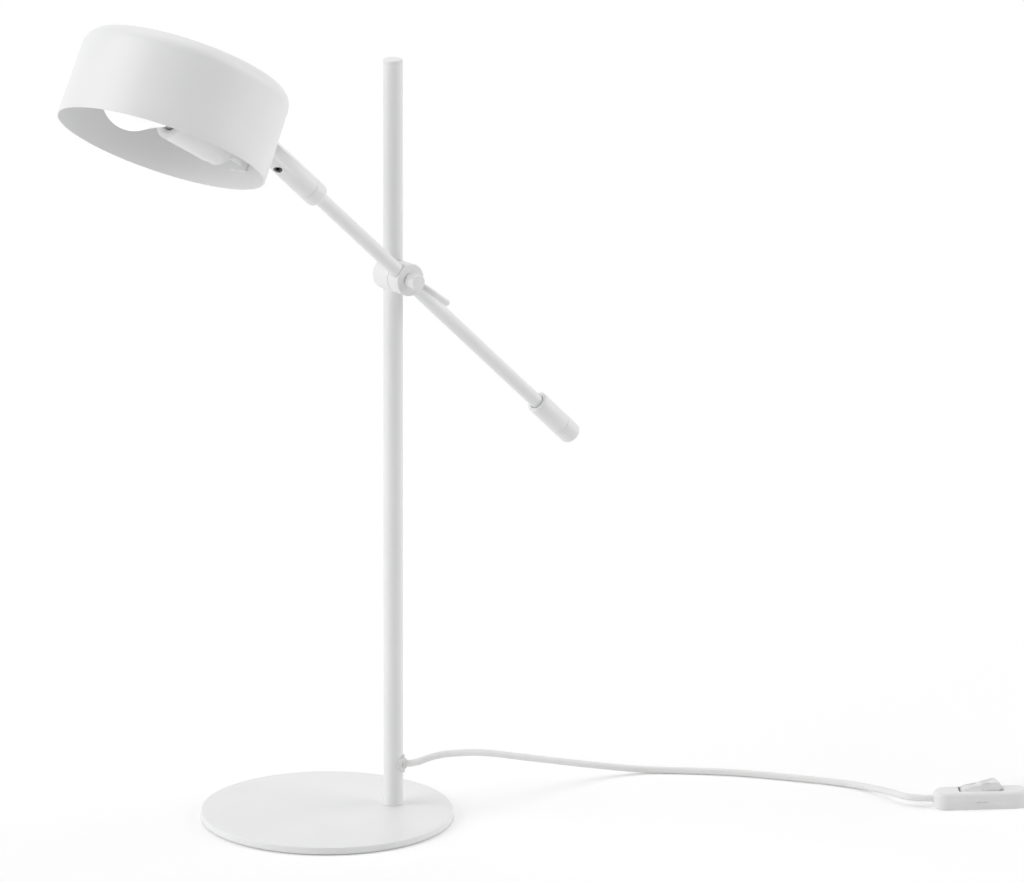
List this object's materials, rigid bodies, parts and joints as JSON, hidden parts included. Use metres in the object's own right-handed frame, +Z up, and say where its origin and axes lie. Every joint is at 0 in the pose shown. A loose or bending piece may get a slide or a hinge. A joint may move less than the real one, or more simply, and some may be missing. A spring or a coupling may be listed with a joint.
{
  "type": "counterweight balance desk lamp",
  "caption": "Desk lamp with a disc base, a slim pole, a clamp-held balance arm with a counterweight, a drum shade on a swivel neck, and a mains lead with an inline rocker switch and a plug.",
  "frame": {"origin": "centre of the base disc's underside, on the table", "axes": "+Z up along the pole, +X from the disc's centre towards the pole, +Y by the right-hand rule"},
  "size_m": [0.8275, 0.2664, 0.6148],
  "materials": {
    "white_lacquer": "satin white powder coat",
    "white_plastic": "fine satin moulded white",
    "white_lead": "smooth soft white sheath",
    "soft_grommet": "soft white elastomer",
    "base_pad": "matt dark non-slip sheet",
    "zinc_steel": "bright zinc plate",
    "contact_brass": "plain turned brass",
    "opal_glass": "smooth opal glass",
    "friction_washer": "plain pressed fibre"
  },
  "bodies": {
    "stand": {"base_plate": "white_lacquer", "base_pad": "base_pad", "foot_bolt": "zinc_steel", "pole_foot_insert": "zinc_steel", "lower_pole_tube": "white_lacquer", "cord_grommet": "soft_grommet", "lead_in_pole": "white_lead", "cord_anchor_tie": "soft_grommet", "lead_splice": "soft_grommet", "inner_lead_pole": "soft_grommet", "swivel_stub": "contact_brass", "lamp_lead": "white_lead", "switch_lower_case": "white_plastic", "switch_upper_case": "white_plastic", "switch_contacts": "contact_brass", "switch_screws": "zinc_steel", "mains_lead": "white_lead", "lead_coil": "white_lead", "coil_tie": "soft_grommet", "plug_strain_relief": "soft_grommet", "plug_body": "white_plastic", "plug_pins": "contact_brass"},
    "rocker": {"switch_rocker": "white_plastic"},
    "clamp": {"clamp_housing": "white_lacquer", "clamp_back_cap": "white_lacquer", "swing_stop_screw": "zinc_steel", "upper_tube_screw": "zinc_steel", "upper_pole_tube": "white_lacquer", "pole_top_cap": "white_plastic", "pivot_bolt": "zinc_steel", "inner_lead_clamp": "soft_grommet"},
    "lever": {"lever_hub": "white_lacquer", "lever_bar": "white_lacquer"},
    "arm": {"arm_block": "white_lacquer", "friction_ring": "friction_washer", "arm_tube": "white_lacquer", "counterweight_rod": "white_lacquer", "inner_lead_arm": "soft_grommet", "counterweight_body": "white_lacquer", "counterweight_cap": "white_lacquer", "arm_set_screws": "zinc_steel", "neck_collar": "white_lacquer", "neck_nipple": "zinc_steel", "neck_nipple_nut": "zinc_steel"},
    "neck": {"neck_barrel": "white_lacquer", "hinge_screw": "zinc_steel", "hinge_nut": "zinc_steel", "inner_lead_neck": "soft_grommet"},
    "head": {"shade": "white_lacquer", "shade_hinge_lug": "white_lacquer", "bracket_screws": "zinc_steel", "lampholder_bracket": "zinc_steel", "lampholder_nipple": "zinc_steel", "lampholder_cover": "white_plastic", "lampholder_body": "white_plastic", "lampholder_shell": "contact_brass", "lampholder_contact": "contact_brass", "bulb_cap": "zinc_steel", "bulb_glass": "opal_glass", "inner_lead_head": "soft_grommet"}
  },
  "joints": [
    {"name": "arm_swing", "type": "hinge", "parent": "stand", "child": "clamp", "pos_m": [0.0487, 0, 0.3962], "axis": [0, 0, 1], "range_deg": [-155, 155]},
    {"name": "arm_tilt", "type": "hinge", "parent": "clamp", "child": "arm", "pos_m": [0.05441, -0.01365, 0.3962], "axis": [0.3859, -0.9225, 0], "range_deg": [-20, 66]},
    {"name": "lock_lever", "type": "hinge", "parent": "clamp", "child": "lever", "pos_m": [0.05441, -0.01365, 0.3962], "axis": [0.3859, -0.9225, 0], "range_deg": [0, 120]},
    {"name": "neck_swivel", "type": "hinge", "parent": "arm", "child": "neck", "pos_m": [-0.02466, -0.04673, 0.47584], "axis": [0.6758, 0.2827, -0.6807], "range_deg": [-160, 160]},
    {"name": "shade_tilt", "type": "hinge", "parent": "neck", "child": "head", "pos_m": [-0.06061, -0.06177, 0.51206], "axis": [-0.4833, 0.8672, -0.1196], "range_deg": [-38, 61]},
    {"name": "rocker_press", "type": "hinge", "parent": "stand", "child": "rocker", "pos_m": [0.45842, -0.09375, 0.0095], "axis": [0.1668, 0.986, 0], "range_deg": [0, 26]}
  ]
}
